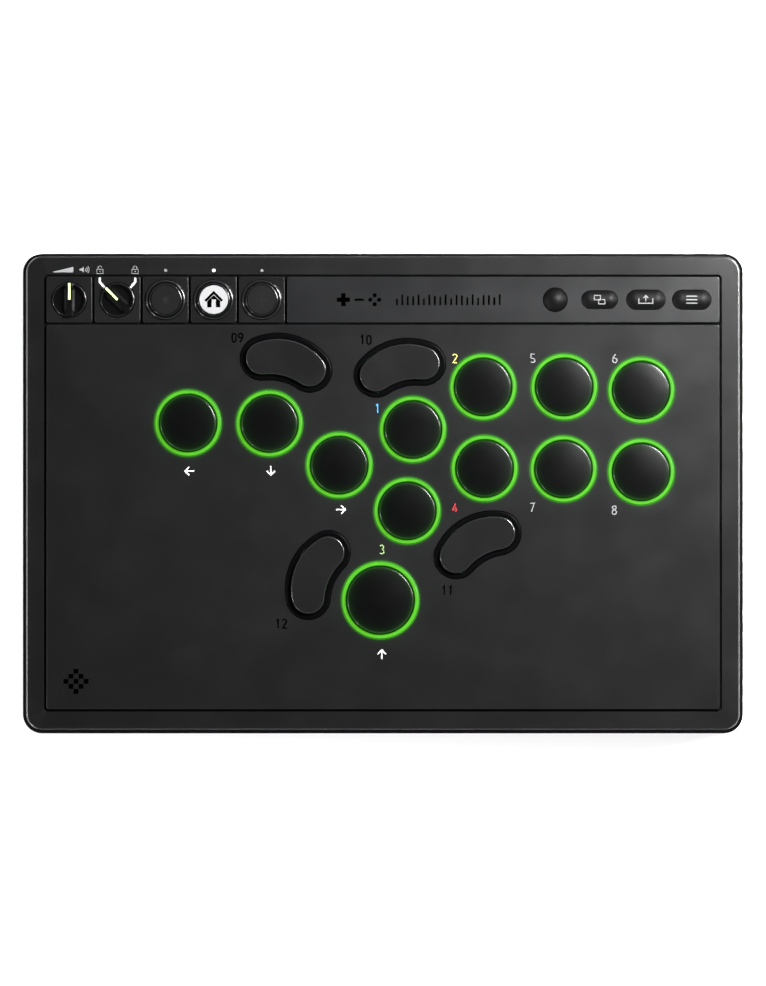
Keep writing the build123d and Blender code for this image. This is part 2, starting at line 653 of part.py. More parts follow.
# ------------------------------------------------------------------ board and power
def main_board():
    """Circuit board, notched round the rear screw bosses, with screw holes."""
    board = Part()
    for length, front, rear in (BOARD_REAR, BOARD_FRONT):
        board += block(length, rear - front, BOARD_LOW, BOARD_TOP, 0, (front + rear) / 2)
    for x, y in CASE_SCREWS:
        board -= rod(CASE_BOSS + NOTCH_GAP, BOARD_LOW - PAST, BOARD_TOP + PAST, x, y)
    for x, y in BOARD_SCREWS:
        board -= rod(BOARD_THREAD + FIT_GAP, BOARD_LOW - PAST, BOARD_TOP + PAST, x, y)
    return board


def lamp(x, y):
    return block(LAMP[0], LAMP[0], BOARD_TOP, BOARD_TOP + LAMP[1], x, y)


def ring_lamps():
    """Lamps spaced evenly under each light ring and one under each indicator light pipe."""
    lamps = []
    for name, (x, y) in ROUND_KEYS.items():
        radius = (RING_INNER[name in LARGE_KEYS] + RING_OUTER[name in LARGE_KEYS]) / 2
        for i in range(LAMPS_PER_RING):
            angle = 2 * math.pi * (i + 0.5) / LAMPS_PER_RING
            lamps.append(lamp(x + radius * math.cos(angle), y + radius * math.sin(angle)))
    lamps += [lamp(TILE_X[i], PIP_Y) for i in TILE_BUTTONS.values()]
    return group(lamps)


def shield_can():
    length, depth, height = SHIELD
    top = BOARD_TOP + height
    can = slab(length, depth, LID_BREAK, BOARD_TOP, top, *SHIELD_AT)
    inner = (length - 2 * SHIELD_SHEET, depth - 2 * SHIELD_SHEET, LID_BREAK - SHIELD_SHEET)
    return can - slab(*inner, BOARD_TOP - PAST, top - SHIELD_SHEET, *SHIELD_AT)


def processor():
    return block(CHIP[0], CHIP[0], BOARD_TOP, BOARD_TOP + CHIP[1], *CHIP_AT)


def socket_plane(x, z, depth):
    """An upright plane that faces backwards, a given way in from the mouth of the sockets."""
    return rear_plane(x, z, CASE_DEPTH / 2 - PORT_FACE + depth)


def usb_shell():
    """Metal shell of the USB-C socket, open towards the rear wall."""
    width, height, corner = USB_SHELL
    plane = socket_plane(USB_X, USB_Z, USB_DEPTH)
    shell = extrude(plane * RectangleRounded(width, height, corner), USB_DEPTH)
    inner = RectangleRounded(width - 2 * USB_SHEET, height - 2 * USB_SHEET, corner - USB_SHEET)
    return shell - extrude(plane.offset(2 * USB_SHEET) * inner, USB_DEPTH)


def usb_tongue():
    """Contact tongue and its root inside the USB-C shell."""
    width, height, corner = USB_TONGUE
    plane = socket_plane(USB_X, USB_Z, USB_DEPTH - 2 * USB_SHEET - POINTER_GAP)
    root = (USB_SHELL[0] - 2.5 * USB_SHEET, USB_SHELL[1] - 2.5 * USB_SHEET, USB_SHELL[2] - 1.3 * USB_SHEET)
    tongue = extrude(plane * RectangleRounded(*root), USB_ROOT)
    return tongue + extrude(plane * RectangleRounded(width, height, corner), USB_TONGUE_LENGTH)


def audio_jack():
    """Socket for a 3.5 mm plug, open towards the rear wall."""
    width, height = JACK_BODY
    depth = JACK_LENGTH + JACK_END
    body = block(width, depth, BOARD_TOP, BOARD_TOP + height, JACK_X, PORT_FACE - depth / 2)
    return body - extrude(socket_plane(JACK_X, JACK_Z, JACK_LENGTH) * Circle(JACK_RADIUS), JACK_LENGTH + PAST)


def battery_pack():
    pack = block(BATTERY[0], BATTERY[1], BATTERY_LOW, BATTERY_LOW + BATTERY[2], *BATTERY_AT)
    return fillet(pack.edges(), BATTERY_ROUND)


def battery_plug():
    return block(PLUG[0], PLUG[1], BOARD_TOP, BOARD_TOP + PLUG[2], *PLUG_AT)


def battery_lead():
    """Two short insulated wires from the battery up to its plug."""
    start_y = BATTERY_AT[1] + BATTERY[1] / 2
    end_y = PLUG_AT[1] - PLUG[1] / 2
    step = (end_y - start_y) / 3
    turn = math.atan2(LEAD_TOP - LEAD_LOW, step)
    radius = 0.45 * step / math.tan(turn / 2)
    wires = []
    for side in (-1, 1):
        x = PLUG_AT[0] + side * LEAD_PITCH / 2
        low_run = [(x, start_y, LEAD_LOW), (x, start_y + step, LEAD_LOW)]
        high_run = [(x, end_y - step, LEAD_TOP), (x, end_y, LEAD_TOP)]
        path = FilletPolyline(*low_run, *high_run, radius=radius)
        section = Plane(path @ 0, z_dir=path % 0) * Circle(LEAD)
        wires.append(sweep(section, path=path))
    return group(wires)


# ------------------------------------------------------------------ fasteners, feet and trim
def case_screw(x, y):
    """Pan-head screw with a cross-shaped drive, up through the case into the bezel."""
    low = FOOT_DROP + HEAD_SINK
    head = fillet(flat_edges(rod(CASE_HEAD, low, HEAD_SEAT), low), HEAD_ROUND)
    length, width, depth = CASE_DRIVE
    for drive in (block(length, width, 0, low + depth), block(width, length, 0, low + depth)):
        head -= drive
    return Pos(x, y, 0) * (head + rod(CASE_THREAD, HEAD_SEAT, CASE_THREAD_TOP))


def board_screw(x, y):
    head = fillet(flat_edges(rod(BOARD_HEAD, BOARD_TOP, BOARD_HEAD_TOP), BOARD_HEAD_TOP), HEAD_ROUND)
    length, width, depth = BOARD_DRIVE
    low, top = BOARD_HEAD_TOP - depth, BOARD_HEAD_TOP + PAST
    for drive in (block(length, width, low, top), block(width, length, low, top)):
        head -= drive
    return Pos(x, y, 0) * (head + rod(BOARD_THREAD, BOARD_THREAD_LOW, BOARD_TOP))


def foot(x, y):
    pad = pill(*FOOT, 0, FOOT_DROP + FOOT_POCKET, x, y)
    return fillet(flat_edges(pad, 0), FOOT_GAP)


def light_pipe(i):
    return rod(PIP_RADIUS, BOARD_TOP + LAMP[1] + PIPE_GAP, PANEL_TOP, TILE_X[i], PIP_Y)


# ------------------------------------------------------------------ assembly
def game_key_nodes():
    """One node for each key: its cap and, as a separate solid, its switch's stem."""
    nodes = {}
    caps = {large: round_cap(large) for large in (False, True)}
    stem = switch_stem()
    for name, place in switch_places().items():
        if name in BEAN_KEYS:
            cap = bean_place(name) * bean_cap()
        else:
            cap = place * caps[name in LARGE_KEYS]
        nodes[f"{name}_key"] = group([cap, place * stem])
    return nodes


def small_button_nodes():
    """One node for each small button: its cap and, as a separate solid, its tact switch's plunger."""
    nodes = {}
    for name, (x, long_side, short_side) in HEADER_BUTTONS.items():
        place = Pos(x, ROW_Y, 0)
        nodes[name] = group([place * header_button(long_side, short_side), place * tact_plunger()])
    for name, i in TILE_BUTTONS.items():
        place = Pos(TILE_X[i], ROW_Y, 0)
        cap = tile_button()
        if name == "home_button":
            cap -= rod(TILE_FACE_RADIUS + 0.15, TILE_BUTTON_TOP - 0.9, TILE_BUTTON_TOP + 1)
            nodes["home_button_lens"] = place * home_lens()
        nodes[name] = group([place * cap, place * tact_plunger()])
    return nodes


def knob_nodes():
    nodes = {}
    for name, (i, angle) in KNOBS.items():
        place = Location((TILE_X[i], ROW_Y, 0), (0, 0, angle))
        nodes[f"{name}_knob"] = place * knob()
        nodes[f"{name}_knob_pointer"] = place * pointer(POINTER_GAP)
        nodes[f"{name}_shaft"] = place * knob_shaft()
    return nodes


def copies(shape, places):
    return group([place * shape for place in places])


def fixed_nodes():
    places = list(switch_places().values())
    tact_x = [x for x, _, _ in HEADER_BUTTONS.values()] + [TILE_X[i] for i in TILE_BUTTONS.values()]
    rings = {large: light_ring(large) for large in (False, True)}
    nodes = {
        "lower_case": lower_case(),
        "top_bezel": top_bezel(),
        "main_panel": main_panel(),
        "header_panel": header_panel(),
        "light_rings": group([Pos(x, y, 0) * rings[n in LARGE_KEYS] for n, (x, y) in ROUND_KEYS.items()]),
        "bean_collars": copies(bean_collar(), [bean_place(name) for name in BEAN_KEYS]),
        "switch_bases": copies(switch_base(), places),
        "switch_lids": copies(switch_lid(), places),
        "switch_springs": copies(switch_spring(), places),
        "main_board": main_board(),
        "ring_lamps": ring_lamps(),
        "tact_switches": copies(tact_body(), [Pos(x, ROW_Y, 0) for x in tact_x]),
        "rotary_bodies": copies(rotary_body(), [Pos(TILE_X[i], ROW_Y, 0) for i, _ in KNOBS.values()]),
        "radio_shield": shield_can(),
        "processor_chip": processor(),
        "usb_shell": usb_shell(),
        "usb_tongue": usb_tongue(),
        "audio_jack": audio_jack(),
        "battery_pack": battery_pack(),
        "battery_plug": battery_plug(),
        "battery_lead": battery_lead(),
        "case_screws": group([case_screw(x, y) for x, y in CASE_SCREWS]),
        "board_screws": group([board_screw(x, y) for x, y in BOARD_SCREWS]),
        "rubber_feet": group([foot(x, y) for x, y in FEET]),
        "indicator_light_pipes": group([light_pipe(i) for i in TILE_BUTTONS.values()]),
    }
    for i, name in enumerate(TILE_NAMES):
        nodes[name] = button_tile(i) if i in TILE_BUTTONS.values() else tile(i, KNOB_HOLE)
    return nodes


def main():
    os.makedirs("parts", exist_ok=True)
    nodes = {**game_key_nodes(), **small_button_nodes(), **knob_nodes(), **fixed_nodes()}
    for name, shape in nodes.items():
        export_step(shape, f"parts/{name}.step")
        print(name, len(shape.solids()))
    print(len(nodes), "nodes")


main()
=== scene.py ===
import json
import math

import bmesh
import bpy
from mathutils import Matrix, Vector
from mathutils.bvhtree import BVHTree


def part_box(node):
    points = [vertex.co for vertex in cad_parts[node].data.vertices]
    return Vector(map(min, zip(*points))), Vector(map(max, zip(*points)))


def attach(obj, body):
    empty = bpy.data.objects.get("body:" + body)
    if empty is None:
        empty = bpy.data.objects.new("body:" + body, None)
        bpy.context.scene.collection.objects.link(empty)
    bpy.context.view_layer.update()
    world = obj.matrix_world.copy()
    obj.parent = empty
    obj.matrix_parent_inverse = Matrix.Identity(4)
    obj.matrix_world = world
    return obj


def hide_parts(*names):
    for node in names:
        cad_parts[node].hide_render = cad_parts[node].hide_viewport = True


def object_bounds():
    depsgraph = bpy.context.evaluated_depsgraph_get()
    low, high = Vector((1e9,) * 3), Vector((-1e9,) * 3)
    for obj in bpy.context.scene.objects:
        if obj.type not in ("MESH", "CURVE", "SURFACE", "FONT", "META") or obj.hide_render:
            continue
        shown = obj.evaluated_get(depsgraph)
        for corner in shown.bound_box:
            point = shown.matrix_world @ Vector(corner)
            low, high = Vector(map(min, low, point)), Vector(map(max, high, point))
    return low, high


# Looks of the all-button arcade controller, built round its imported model.
# Lengths in the tables below are millimetres; MM turns them into metres.

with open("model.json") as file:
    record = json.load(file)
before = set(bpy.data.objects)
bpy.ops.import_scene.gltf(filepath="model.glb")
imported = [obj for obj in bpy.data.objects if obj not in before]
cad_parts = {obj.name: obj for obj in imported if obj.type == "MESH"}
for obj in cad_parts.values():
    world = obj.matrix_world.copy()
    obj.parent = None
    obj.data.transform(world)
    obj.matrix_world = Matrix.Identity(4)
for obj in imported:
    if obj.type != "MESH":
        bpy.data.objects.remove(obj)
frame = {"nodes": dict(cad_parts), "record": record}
CAD_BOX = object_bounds()
NODES = frame["nodes"]
MM = 0.001

# ------------------------------------------------------------------ the model's own places
def centre(node):
    """Middle of a CAD node's box, in metres."""
    low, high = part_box(node)
    return (low + high) / 2


def top(node):
    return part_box(node)[1].z


def size(node):
    low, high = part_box(node)
    return high - low


KEYS = [name for name in NODES if name.endswith("_key")]
ROUND_KEYS = [name for name in KEYS if not name.startswith("bean")]
BEAN_KEYS = [name for name in KEYS if name.startswith("bean")]
TILES = ["volume_tile", "lock_tile", "function_tile", "home_tile", "pair_tile"]
HEADER_BUTTONS = ["profile_button", "windows_button", "share_button", "menu_button"]
TILE_BUTTONS = ["function_button", "home_button", "pair_button"]
PANEL_TOP = top("main_panel")
BEZEL_TOP = top("top_bezel")

# ------------------------------------------------------------------ print and icons, in millimetres
PRINT_RISE = 0.03
DIGIT_STROKE = 0.4
BLACK_STROKE = 0.6
DIGIT_PITCH = 2.75
# Numeral by key, its middle measured from the key's middle, and its ink.
NUMERALS = {
    "action_1_key": ("1", (-14.7, 8.7), "blue"),
    "action_2_key": ("2", (-11.7, 11.8), "yellow"),
    "action_3_key": ("3", (-10.6, -16.1), "green"),
    "action_4_key": ("4", (-12.3, -16.3), "red"),
    "action_5_key": ("5", (-13.1, 11.9), "grey"),
    "action_6_key": ("6", (-11.0, 13.2), "grey"),
    "action_7_key": ("7", (-13.0, -16.0), "grey"),
    "action_8_key": ("8", (-11.2, -15.9), "grey"),
    "bean_1_key": ("09", (-20.2, 10.4), "black"),
    "bean_2_key": ("10", (-14.2, 11.6), "black"),
    "bean_3_key": ("11", (-12.6, -19.0), "black"),
    "bean_4_key": ("12", (-15.2, -20.2), "black"),
}
# Arrow by key: its middle measured from the key's middle, and the way it points in degrees.
ARROWS = {
    "left_key": ((0.5, -20.0), 180),
    "down_key": ((0.6, -19.7), -90),
    "right_key": ((0.8, -18.5), 0),
    "up_key": ((0.6, -22.5), 90),
}
INKS = {
    "white": (0.34, 0.34, 0.34),
    "grey": (0.12, 0.12, 0.123),
    "black": (0.0001, 0.0001, 0.0001),
    "faint": (0.0011, 0.0011, 0.0011),
    "blue": (0.024, 0.17, 0.33),
    "yellow": (0.32, 0.29, 0.08),
    "green": (0.125, 0.2, 0.07),
    "red": (0.26, 0.011, 0.015),
}
INK_GLOSS = {"black": 0.0}


# ------------------------------------------------------------------ node helpers
class Shader:
    """A material whose nodes are added one after the other."""

    def __init__(self, name):
        self.material = bpy.data.materials.new(name)
        self.material.use_nodes = True
        self.tree = self.material.node_tree
        self.surface = self.tree.nodes["Principled BSDF"]
        self.place = self.tree.nodes.new("ShaderNodeTexCoord").outputs["Object"]

    def node(self, kind, inputs=None, **settings):
        made = self.tree.nodes.new("ShaderNode" + kind)
        for key, value in settings.items():
            setattr(made, key, value)
        for key, value in (inputs or {}).items():
            self.put(made.inputs[key], value)
        return made

    def put(self, socket, value):
        if isinstance(value, bpy.types.NodeSocket):
            self.tree.links.new(value, socket)
        else:
            socket.default_value = value

    def noise(self, scale, detail=3.0, roughness=0.5):
        inputs = {"Vector": self.place, "Scale": scale, "Detail": detail, "Roughness": roughness}
        return self.node("TexNoise", inputs).outputs["Fac"]

    def ramp(self, value, low, high, start, end):
        """value, taken from the range low to high, to the range start to end."""
        inputs = {"Value": value, "From Min": low, "From Max": high, "To Min": start, "To Max": end}
        return self.node("MapRange", inputs).outputs["Result"]

    def blend(self, factor, first, second):
        mix = self.node("Mix", data_type="RGBA")
        self.put(mix.inputs["Factor"], factor)
        self.put(mix.inputs["A"], (*first, 1.0) if isinstance(first, tuple) else first)
        self.put(mix.inputs["B"], (*second, 1.0) if isinstance(second, tuple) else second)
        return mix.outputs["Result"]

    def bump(self, height, strength, distance, under=None):
        inputs = {"Height": height, "Strength": strength, "Distance": distance}
        if under is not None:
            inputs["Normal"] = under
        return self.node("Bump", inputs).outputs["Normal"]

    def set(self, **values):
        for key, value in values.items():
            self.put(self.surface.inputs[key.replace("_", " ")], value)
        return self.material


GLOW_TINT = (0.10, 1.0, 0.03)
RIM_CREST = (0.092, 0.43, 0.01)
# Emission colour of the ring's sloping sides: a painted shade of the crest colour.
RIM_SIDE_SHADED = (0.012, 0.13, 0.002)
GLOW_RADIUS = 1.35 * MM  # from a round cap's edge to the middle of its lit rim
GLOW_HALF = 0.95 * MM  # half the lit rim's width


def rim_distance(look):
    """Distance in metres, across the panel, from the edge of the nearest lit rim."""
    flat = look.node("VectorMath", {0: look.place, 1: (1.0, 1.0, 0.0)}, operation="MULTIPLY").outputs[0]
    nearest = None
    for key in ROUND_KEYS:
        at = centre(key)
        reach = size(key).x / 2 + GLOW_RADIUS
        away = look.node("VectorMath", {0: flat, 1: (at.x, at.y, 0.0)}, operation="DISTANCE").outputs["Value"]
        off = look.node("Math", {0: away, 1: reach}, operation="SUBTRACT").outputs[0]
        off = look.node("Math", {0: off}, operation="ABSOLUTE").outputs[0]
        if nearest is None:
            nearest = off
        else:
            nearest = look.node("Math", {0: nearest, 1: off}, operation="MINIMUM").outputs[0]
    return look.node("Math", {0: nearest, 1: GLOW_HALF}, operation="SUBTRACT").outputs[0]


def add_glow(look, strength, reach):
    """Green light spilling from the lit rims, fading as 1 / (1 + (distance / reach) squared)."""
    away = look.node("Math", {0: rim_distance(look), 1: 0.0}, operation="MAXIMUM").outputs[0]
    ratio = look.node("Math", {0: away, 1: reach}, operation="DIVIDE").outputs[0]
    squared = look.node("Math", {0: ratio, 1: ratio}, operation="MULTIPLY_ADD").outputs[0]
    look.put(squared.node.inputs[2], 1.0)
    spill = look.node("Math", {0: strength, 1: squared}, operation="DIVIDE").outputs[0]
    far = look.ramp(away, 4 * MM, 8 * MM, 1.0, 0.0)
    spill = look.node("Math", {0: spill, 1: far}, operation="MULTIPLY").outputs[0]
    return look.set(Emission_Color=(*GLOW_TINT, 1.0), Emission_Strength=spill)


def shade(colour, amount):
    return tuple(part * amount for part in colour)


# ------------------------------------------------------------------ materials
def moulded(name, colour, rough, grain=2600, depth=0.02, gloss=0.5, wear_and_highlight=0.25, glow=None):
    """Moulded plastic with a spark-eroded grain, faint mottling, and convex edges painted paler: partly
    rubbing, partly a painted highlight.
    """
    look = Shader(name)
    mottle = look.noise(35, 4)
    base = look.blend(look.ramp(mottle, 0.3, 0.7, 0.0, 1.0), shade(colour, 0.95), shade(colour, 1.05))
    # Painted highlight and wear: convex edges, found by pointiness, are lightened towards three times the
    # base colour.
    edge = look.node("NewGeometry").outputs["Pointiness"]
    worn_and_highlit_edge = look.ramp(edge, 0.53, 0.62, 0.0, wear_and_highlight)
    base = look.blend(worn_and_highlit_edge, base, shade(colour, 3.0))
    spark = look.noise(grain, 2, 0.6)
    worn = look.ramp(look.noise(60, 5), 0.3, 0.7, rough - 0.02, rough + 0.02)
    normal = look.bump(spark, 0.35, depth * MM)
    if glow is not None:
        add_glow(look, *glow)
    return look.set(Base_Color=base, Roughness=worn, Normal=normal, Specular_IOR_Level=gloss)


def polished(name, colour, rough=0.16, gloss=0.5):
    """Glossy plastic with slight moulding ripple and fine handling haze."""
    look = Shader(name)
    haze = look.ramp(look.noise(220, 5), 0.35, 0.75, rough, rough + 0.1)
    ripple = look.bump(look.noise(140, 2), 0.12, 0.05 * MM)
    tint = look.blend(look.noise(60, 3), shade(colour, 0.9), shade(colour, 1.1))
    return look.set(Base_Color=tint, Roughness=haze, Normal=ripple, Specular_IOR_Level=gloss)


def light_guide(name, colour, glow, strength):
    """Frosted clear plastic, lit from inside, a little uneven over its lamps."""
    look = Shader(name)
    cloud = look.noise(300, 3)
    lit = look.blend(look.ramp(cloud, 0.35, 0.65, 0.0, 1.0), shade(glow, 0.94), shade(glow, 1.06))
    frost = look.bump(look.noise(1800, 2), 0.2, 0.01 * MM)
    look.set(Base_Color=(*colour, 1.0), Roughness=look.ramp(cloud, 0.3, 0.7, 0.3, 0.42), Normal=frost)
    return look.set(Emission_Color=lit, Emission_Strength=strength)


def lit_rim(name):
    """Green light guide, brightest on its crest; the deeper green of its sloping sides is painted shade, set
    by how far the normal tips from straight up.
    """
    look = Shader(name)
    up = look.node("SeparateXYZ", {0: look.node("NewGeometry").outputs["Normal"]}).outputs["Z"]
    crest = look.ramp(up, 0.88, 0.995, 0.0, 1.0)
    cloud = look.ramp(look.noise(260, 3), 0.35, 0.65, 0.92, 1.08)
    lit = look.blend(crest, RIM_SIDE_SHADED, RIM_CREST)
    frost = look.bump(look.noise(1800, 2), 0.15, 0.008 * MM)
    look.set(Base_Color=(0.008, 0.05, 0.004, 1.0), Roughness=0.34, Normal=frost, Specular_IOR_Level=0.06)
    return look.set(Emission_Color=lit, Emission_Strength=cloud)


def ink(name, colour, gloss):
    """Screen-printed ink, slightly uneven in cover."""
    look = Shader(name)
    cover = look.ramp(look.noise(1400, 4), 0.3, 0.7, 0.0, 1.0)
    tint = look.blend(cover, shade(colour, 0.9), colour)
    pores = look.bump(look.noise(3200, 2), 0.25, 0.008 * MM)
    look.set(Base_Color=tint, Roughness=look.ramp(cover, 0, 1, 0.5, 0.62), Normal=pores)
    return look.set(Specular_IOR_Level=gloss)


def metal(name, colour, rough, streak=400):
    """Drawn or plated metal with fine streaks."""
    look = Shader(name)
    stretch = look.node("Mapping", {"Vector": look.place, "Scale": (1.0, 1.0, 0.12)}).outputs["Vector"]
    lines = look.node("TexNoise", {"Vector": stretch, "Scale": streak, "Detail": 4.0}).outputs["Fac"]
    tint = look.blend(lines, shade(colour, 0.85), shade(colour, 1.05))
    look.set(Base_Color=tint, Roughness=look.ramp(lines, 0.3, 0.7, rough - 0.06, rough + 0.08), Metallic=1.0)
    return look.set(Normal=look.bump(lines, 0.15, 0.01 * MM))


def matt(name, dark, pale, grain, gloss=0.5):
    """Matt cast surface: fine grain with paler high spots, under a little dust."""
    look = Shader(name)
    cast = look.noise(grain, 3)
    dust = look.ramp(look.noise(90, 5), 0.4, 0.75, 0.0, 0.35)
    high = look.ramp(cast, 0.35, 0.65, 0.0, 0.4)
    tint = look.blend(look.node("Math", {0: dust, 1: high}).outputs[0], dark, pale)
    look.set(Roughness=look.ramp(dust, 0, 0.35, 0.72, 0.88), Normal=look.bump(cast, 0.5, 0.03 * MM))
    return look.set(Base_Color=tint, Specular_IOR_Level=gloss)


def laminate(name):
    """Green solder resist with faint tracks showing through."""
    look = Shader(name)
    weave = look.node("TexBrick", {"Vector": look.place, "Scale": 160.0}).outputs["Fac"]
    tint = look.blend(weave, (0.012, 0.09, 0.035), (0.02, 0.14, 0.055))
    return look.set(Base_Color=tint, Roughness=0.35, Normal=look.bump(weave, 0.2, 0.02 * MM))


def floor_paper():
    """Seamless pale paper."""
    look = Shader("studio_paper")
    fibre = look.noise(900, 5, 0.6)
    tint = look.blend(fibre, (0.93, 0.93, 0.93), (0.96, 0.96, 0.96))
    return look.set(Base_Color=tint, Roughness=0.85, Normal=look.bump(fibre, 0.05, 0.02 * MM))


CHARCOAL = (0.002, 0.002, 0.0021)
LOOKS = {
    "charcoal": moulded("charcoal_plastic", CHARCOAL, 0.245, depth=0.01, gloss=0.23, glow=(0.11, 0.35 * MM)),
    # Charcoal with a stronger specular, for the bezel's side edges only, so the lamps draw highlight lines
    # there; it does not stand for rubbing.
    "edge": moulded("side_edge_highlight_plastic", CHARCOAL, 0.25, gloss=1.0),
    "header": moulded("header_plastic", (0.0021, 0.0022, 0.0024), 0.245, depth=0.01, gloss=0.31),
    "case": matt("case_plastic", (0.002, 0.002, 0.0021), (0.0062, 0.0062, 0.0064), 1200, 0.0),
    "under": moulded("underside_plastic", (0.012, 0.012, 0.0122), 0.55, grain=1600, depth=0.06, gloss=0.4),
    "collar": moulded("collar_plastic", (0.0005, 0.0005, 0.0006), 0.3, gloss=0.02, wear_and_highlight=0.1),
    "cap": moulded("key_plastic", (0.0005, 0.0005, 0.0006), 0.2, 3200, 0.005, 0.21, 0.0, (0.12, 0.6 * MM)),
    "bean": moulded("bean_plastic", (0.0024, 0.0024, 0.0025), 0.2, grain=3200, depth=0.008, gloss=0.4),
    "button": moulded("button_plastic", (0.0022, 0.0022, 0.0023), 0.3, 3000, 0.01, 0.15, wear_and_highlight=0.15),
    "knob": moulded("knob_plastic", (0.0006, 0.0006, 0.0007), 0.18, 2600, 0.005, 0.32, wear_and_highlight=0.1),
    "gloss": moulded("gloss_plastic", (0.0008, 0.0008, 0.0009), 0.42, 2600, 0.004, 0.06, wear_and_highlight=0.1),
    "white": polished("white_lens", (0.155, 0.155, 0.158), 0.3, gloss=0.2),
    "ring": lit_rim("lit_rim"),
    "pointer": light_guide("pale_pointer", (0.4, 0.5, 0.2), (0.45, 0.62, 0.28), 0.3),
    "pip_on": light_guide("pip_lit", (0.8, 0.82, 0.85), (1.0, 1.0, 1.0), 2.5),
    "pip_off": polished("pip_dark", (0.1, 0.1, 0.105), 0.3),
    "steel": metal("plain_steel", (0.55, 0.55, 0.56), 0.32),
    "tin": metal("tinned_sheet", (0.68, 0.68, 0.69), 0.3),
    "black_screw": metal("black_oxide", (0.045, 0.045, 0.047), 0.38),
    "rubber": matt("foot_rubber", (0.014, 0.014, 0.014), (0.06, 0.058, 0.055), 1500),
    "board": laminate("board_resist"),
    "nylon": moulded("switch_nylon", (0.03, 0.03, 0.032), 0.45),
    "foil": moulded("cell_wrap", (0.3, 0.31, 0.33), 0.35, grain=500, depth=0.05),
    "natural": moulded("natural_nylon", (0.6, 0.57, 0.5), 0.45),
    "lead": moulded("wire_cover", (0.4, 0.02, 0.015), 0.4),
}
for name, colour in INKS.items():
    LOOKS[f"ink_{name}"] = ink(f"ink_{name}", colour, INK_GLOSS.get(name, 0.1))


def wear_look(thing, look):
    thing.data.materials.clear()
    thing.data.materials.append(LOOKS[look])


# ------------------------------------------------------------------ mesh helpers
def finished(name, mesh, look, body):
    """A smooth-shaded piece made from a bmesh, riding on a body."""
    bmesh.ops.recalc_face_normals(mesh, faces=mesh.faces)
    data = bpy.data.meshes.new(name)
    mesh.to_mesh(data)
    mesh.free()
    data.shade_smooth()
    data.set_sharp_from_angle(angle=math.radians(38))
    made = bpy.data.objects.new(name, data)
    bpy.context.scene.collection.objects.link(made)
    data.materials.append(LOOKS[look])
    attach(made, body)
    return made


def ribbon(mesh, points, width, rise, closed=False):
    """A flat band with mitred corners along points, as a thin closed solid from 0 to rise high."""
    count = len(points)
    sides = []
    for i, point in enumerate(points):
        before = points[i - 1] if (i > 0 or closed) else None
        after = points[(i + 1) % count] if (i < count - 1 or closed) else None
        ways = []
        if before is not None:
            ways.append((Vector(point) - Vector(before)).normalized())
        if after is not None:
            ways.append((Vector(after) - Vector(point)).normalized())
        normals = [Vector((-way.y, way.x)) for way in ways]
        middle = sum(normals, Vector((0, 0))).normalized()
        reach = width / 2 / max(middle.dot(normals[0]), 0.3)
        sides.append((Vector(point) + middle * reach, Vector(point) - middle * reach))
    posts = []
    for pair in sides:
        posts.append([mesh.verts.new((side.x, side.y, height)) for side in pair for height in (0, rise)])
    for i in range(count if closed else count - 1):
        left_low, left_high, right_low, right_high = posts[i]
        next_left_low, next_left_high, next_right_low, next_right_high = posts[(i + 1) % count]
        mesh.faces.new([left_low, right_low, next_right_low, next_left_low])
        mesh.faces.new([left_high, next_left_high, next_right_high, right_high])
        mesh.faces.new([left_low, next_left_low, next_left_high, left_high])
        mesh.faces.new([right_low, right_high, next_right_high, next_right_low])
    if not closed:
        for left_low, left_high, right_low, right_high in (posts[0], posts[-1]):
            mesh.faces.new([left_low, left_high, right_high, right_low])


def prism(mesh, outline, rise):
    """A thin closed solid with a given flat outline, from 0 to rise high."""
    low = [mesh.verts.new((x, y, 0)) for x, y in outline]
    high = [mesh.verts.new((x, y, rise)) for x, y in outline]
    mesh.faces.new(low)
    mesh.faces.new(list(reversed(high)))
    for i in range(len(low)):
        j = (i + 1) % len(low)
        mesh.faces.new([low[i], low[j], high[j], high[i]])


def disc(mesh, middle, radius, rise, turns=32):
    prism(mesh, loop(middle, radius, turns), rise)


def loop(middle, radius, turns=40, start=0, sweep=360):
    """Points along an arc, without its last point if it is a full circle."""
    count = turns if sweep == 360 else turns + 1
    angles = [math.radians(start + sweep * i / turns) for i in range(count)]
    return [(middle[0] + radius * math.cos(a), middle[1] + radius * math.sin(a)) for a in angles]


def printed(name, mesh, look, body, at, height, turn=0.0):
    """A flat mark drawn in millimetres about its own middle, laid on a surface at a height in metres."""
    about_z = Matrix.Rotation(math.radians(turn), 3, "Z")
    bmesh.ops.rotate(mesh, verts=mesh.verts, cent=(0, 0, 0), matrix=about_z)
    bmesh.ops.scale(mesh, verts=mesh.verts, vec=(MM, MM, MM))
    bmesh.ops.translate(mesh, verts=mesh.verts, vec=(at[0], at[1], height))
    return finished(name, mesh, look, body)


def draped(name, mesh, look, node, at):
    """As printed, but laid over the curved top of a CAD node: each vertex keeps its own rise above it."""
    bmesh.ops.scale(mesh, verts=mesh.verts, vec=(MM, MM, MM))
    bmesh.ops.translate(mesh, verts=mesh.verts, vec=(at[0], at[1], 0))
    long_edges = [e for e in mesh.edges if e.calc_length() > 0.45 * MM]
    bmesh.ops.subdivide_edges(mesh, edges=long_edges, cuts=3, use_grid_fill=True)
    bmesh.ops.triangulate(mesh, faces=[face for face in mesh.faces if len(face.verts) > 4])
    data = NODES[node].data
    tree = BVHTree.FromPolygons([v.co for v in data.vertices], [p.vertices for p in data.polygons])
    above = top(node) + 0.01
    for vertex in mesh.verts:
        hit = tree.ray_cast(Vector((vertex.co.x, vertex.co.y, above)), Vector((0, 0, -1)))[0]
        vertex.co.z += hit.z
    return finished(name, mesh, look, body_of(node))


def body_of(node):
    return next(body for body, nodes in frame["record"]["behaviour"]["bodies"].items() if node in nodes)


